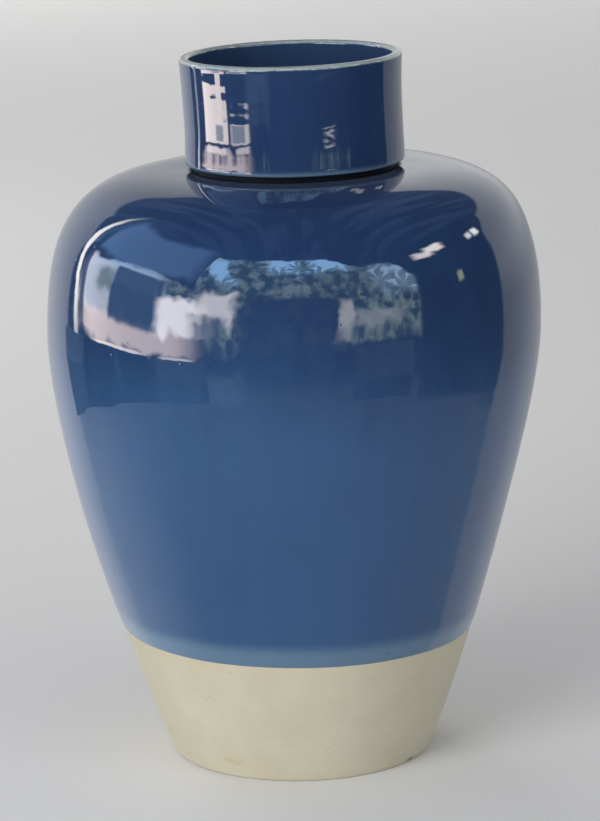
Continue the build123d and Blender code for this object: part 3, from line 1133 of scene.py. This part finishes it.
def build_camera():
    s = stage()
    ahead = Vector((
        sin(s.camera_yaw) * cos(s.camera_pitch),
        cos(s.camera_yaw) * cos(s.camera_pitch),
        -sin(s.camera_pitch),
    ))
    right = Vector((cos(s.camera_yaw), -sin(s.camera_yaw), 0))
    up = right.cross(ahead)
    c, d = cos(s.camera_roll), sin(s.camera_roll)
    across, over = right * c - up * d, right * d + up * c
    data = bpy.data.cameras.new("camera")
    data.lens = s.lens
    data.sensor_width = 36.0
    data.clip_start, data.clip_end = 0.05, 100.0
    camera = placed("camera", data)
    turn = Matrix((across, over, -ahead)).transposed().to_4x4()
    camera.matrix_world = Matrix.Translation((0, -s.camera_back, s.camera_height)) @ turn
    bpy.context.scene.camera = camera


def add_lamp(name, place, aim, size, watts, tint=(1.0, 1.0, 1.0)):
    """A soft lamp aimed at a point; it isn't mirrored in the gloss."""
    data = bpy.data.lights.new(name, "AREA")
    data.shape, data.size, data.energy, data.color = "SQUARE", size, watts, tint
    lamp = placed(name, data)
    lamp.location = place
    lamp.rotation_euler = (Vector(aim) - Vector(place)).to_track_quat("-Z", "Y").to_euler()
    lamp.visible_glossy = False


def bench_material():
    """Pale, with two dark seats in the bench on the left."""
    made, nodes = new_material("bench")
    place = nodes.own_place()
    x, y, _ = nodes.axes(place)
    uneven = nodes.noise(place, 5.0) - 0.5
    azimuth = x.math("ARCTAN2", -y) * degrees(1) + uneven * 8.0
    seats = azimuth.rise(-110.0, -107.0) * azimuth.rise(-61.0, -64.0)
    seats = seats * (1.0 - azimuth.bell(-84.0, 1.5) * 0.6)
    shade = nodes.mix(seats, (0.32, 0.46, 0.64), (0.012, 0.020, 0.035))
    finished(nodes, {"Base Color": shade, "Roughness": 0.9, "Specular IOR Level": 0.0})
    return made


def bench_mesh(name, span, high):
    """A curved bench in front of the vase, between two azimuths in degrees."""
    mesh = bpy.data.meshes.new(name)
    turns = np.radians(np.linspace(*span, 25))
    far, low, thick = 1.31, -0.20, 0.05
    ring = [(far, low), (far, high), (far + thick, high), (far + thick, low)]
    points = [(r * sin(t), -r * cos(t), z) for t in turns for r, z in ring]
    faces = [
        (4 * k + j, 4 * k + (j + 1) % 4, 4 * k + 4 + (j + 1) % 4, 4 * k + 4 + j)
        for k in range(len(turns) - 1) for j in range(4)
    ]
    last = len(points)
    faces += [(0, 1, 2, 3), (last - 1, last - 2, last - 3, last - 4)]
    mesh.from_pydata(points, [], faces)
    return mesh


class VASE_OT_stage(Operator):
    """Set the plain floor, the soft light, the mirrored room and the camera"""

    bl_idname = "vase.stage"
    bl_label = "Stage"

    def execute(self, context):
        s = stage()
        mesh = bpy.data.meshes.new("floor")
        work = bmesh.new()
        bmesh.ops.create_circle(
            work, cap_ends=True, cap_tris=True, segments=96, radius=s.floor_radius,
        )
        work.to_mesh(mesh)
        work.free()
        floor = placed("floor", mesh)
        mesh.materials.append(floor_material())
        floor.visible_glossy = False

        # Only the gloss sees the benches, which hide the room's lower part from it.
        pale = bench_material()
        left, right = ((-124, -38), 0.108), ((26, 52), 0.165)
        for name, (span, high) in (("left_bench", left), ("right_bench", right)):
            bench = placed(name, bench_mesh(name, span, high))
            bench.data.materials.append(pale)
            for ray in ("camera", "diffuse", "transmission", "volume_scatter", "shadow"):
                setattr(bench, "visible_" + ray, False)

        size = s.lamp_size
        warm = (1.0, 0.98, 0.93)
        add_lamp("key_lamp", (-2.5, -3.0, 1.3), (0, 0, 0.25), size, s.key_power)
        add_lamp("fill_lamp", (3.0, -2.4, 1.3), (0, 0, 0.2), size, s.fill_power)
        add_lamp("back_lamp", (-2.4, 6.2, 3.0), (-0.9, 6.2, 0), 2.6, s.back_power, warm)
        add_lamp("left_lamp", (-1.5, 1.7, 0.9), (-0.6, 1.1, 0), 0.9, s.left_power)
        build_world()
        build_camera()
        context.scene.view_settings.view_transform = "Standard"
        return {"FINISHED"}


class VASE_PT_panel(Panel):
    """The vase's pieces and their settings"""

    bl_idname = "VASE_PT_panel"
    bl_label = "Flower Vase"
    bl_space_type = "VIEW_3D"
    bl_region_type = "UI"
    bl_category = "Vase"

    def draw(self, context):
        layout = self.layout
        for group in SETTINGS:
            box = layout.box()
            box.label(text=group.replace("_", " ").title())
            owner = getattr(context.scene, group)
            for name in owner.__annotations__:
                box.prop(owner, name, text=name.replace("_", " ").title())
        for operator in OPERATORS:
            layout.operator(operator.bl_idname)


OPERATORS = (
    VASE_OT_clay_body,
    VASE_OT_clay_collar,
    VASE_OT_luting_coils,
    VASE_OT_body_glaze,
    VASE_OT_collar_glaze,
    VASE_OT_liner_glaze,
    VASE_OT_stage,
)


def register():
    for made in (*SETTINGS.values(), *OPERATORS, VASE_PT_panel):
        bpy.utils.register_class(made)
    for name, group in SETTINGS.items():
        setattr(bpy.types.Scene, name, PointerProperty(type=group))


def unregister():
    for name in SETTINGS:
        delattr(bpy.types.Scene, name)
    for made in reversed((*SETTINGS.values(), *OPERATORS, VASE_PT_panel)):
        bpy.utils.unregister_class(made)


def main():
    register()
    bpy.ops.vase.clay_body()
    bpy.ops.vase.clay_collar()
    bpy.ops.vase.luting_coils()
    bpy.ops.vase.body_glaze()
    bpy.ops.vase.collar_glaze()
    bpy.ops.vase.liner_glaze()
    bpy.ops.vase.stage()


if __name__ == "__main__":
    main()
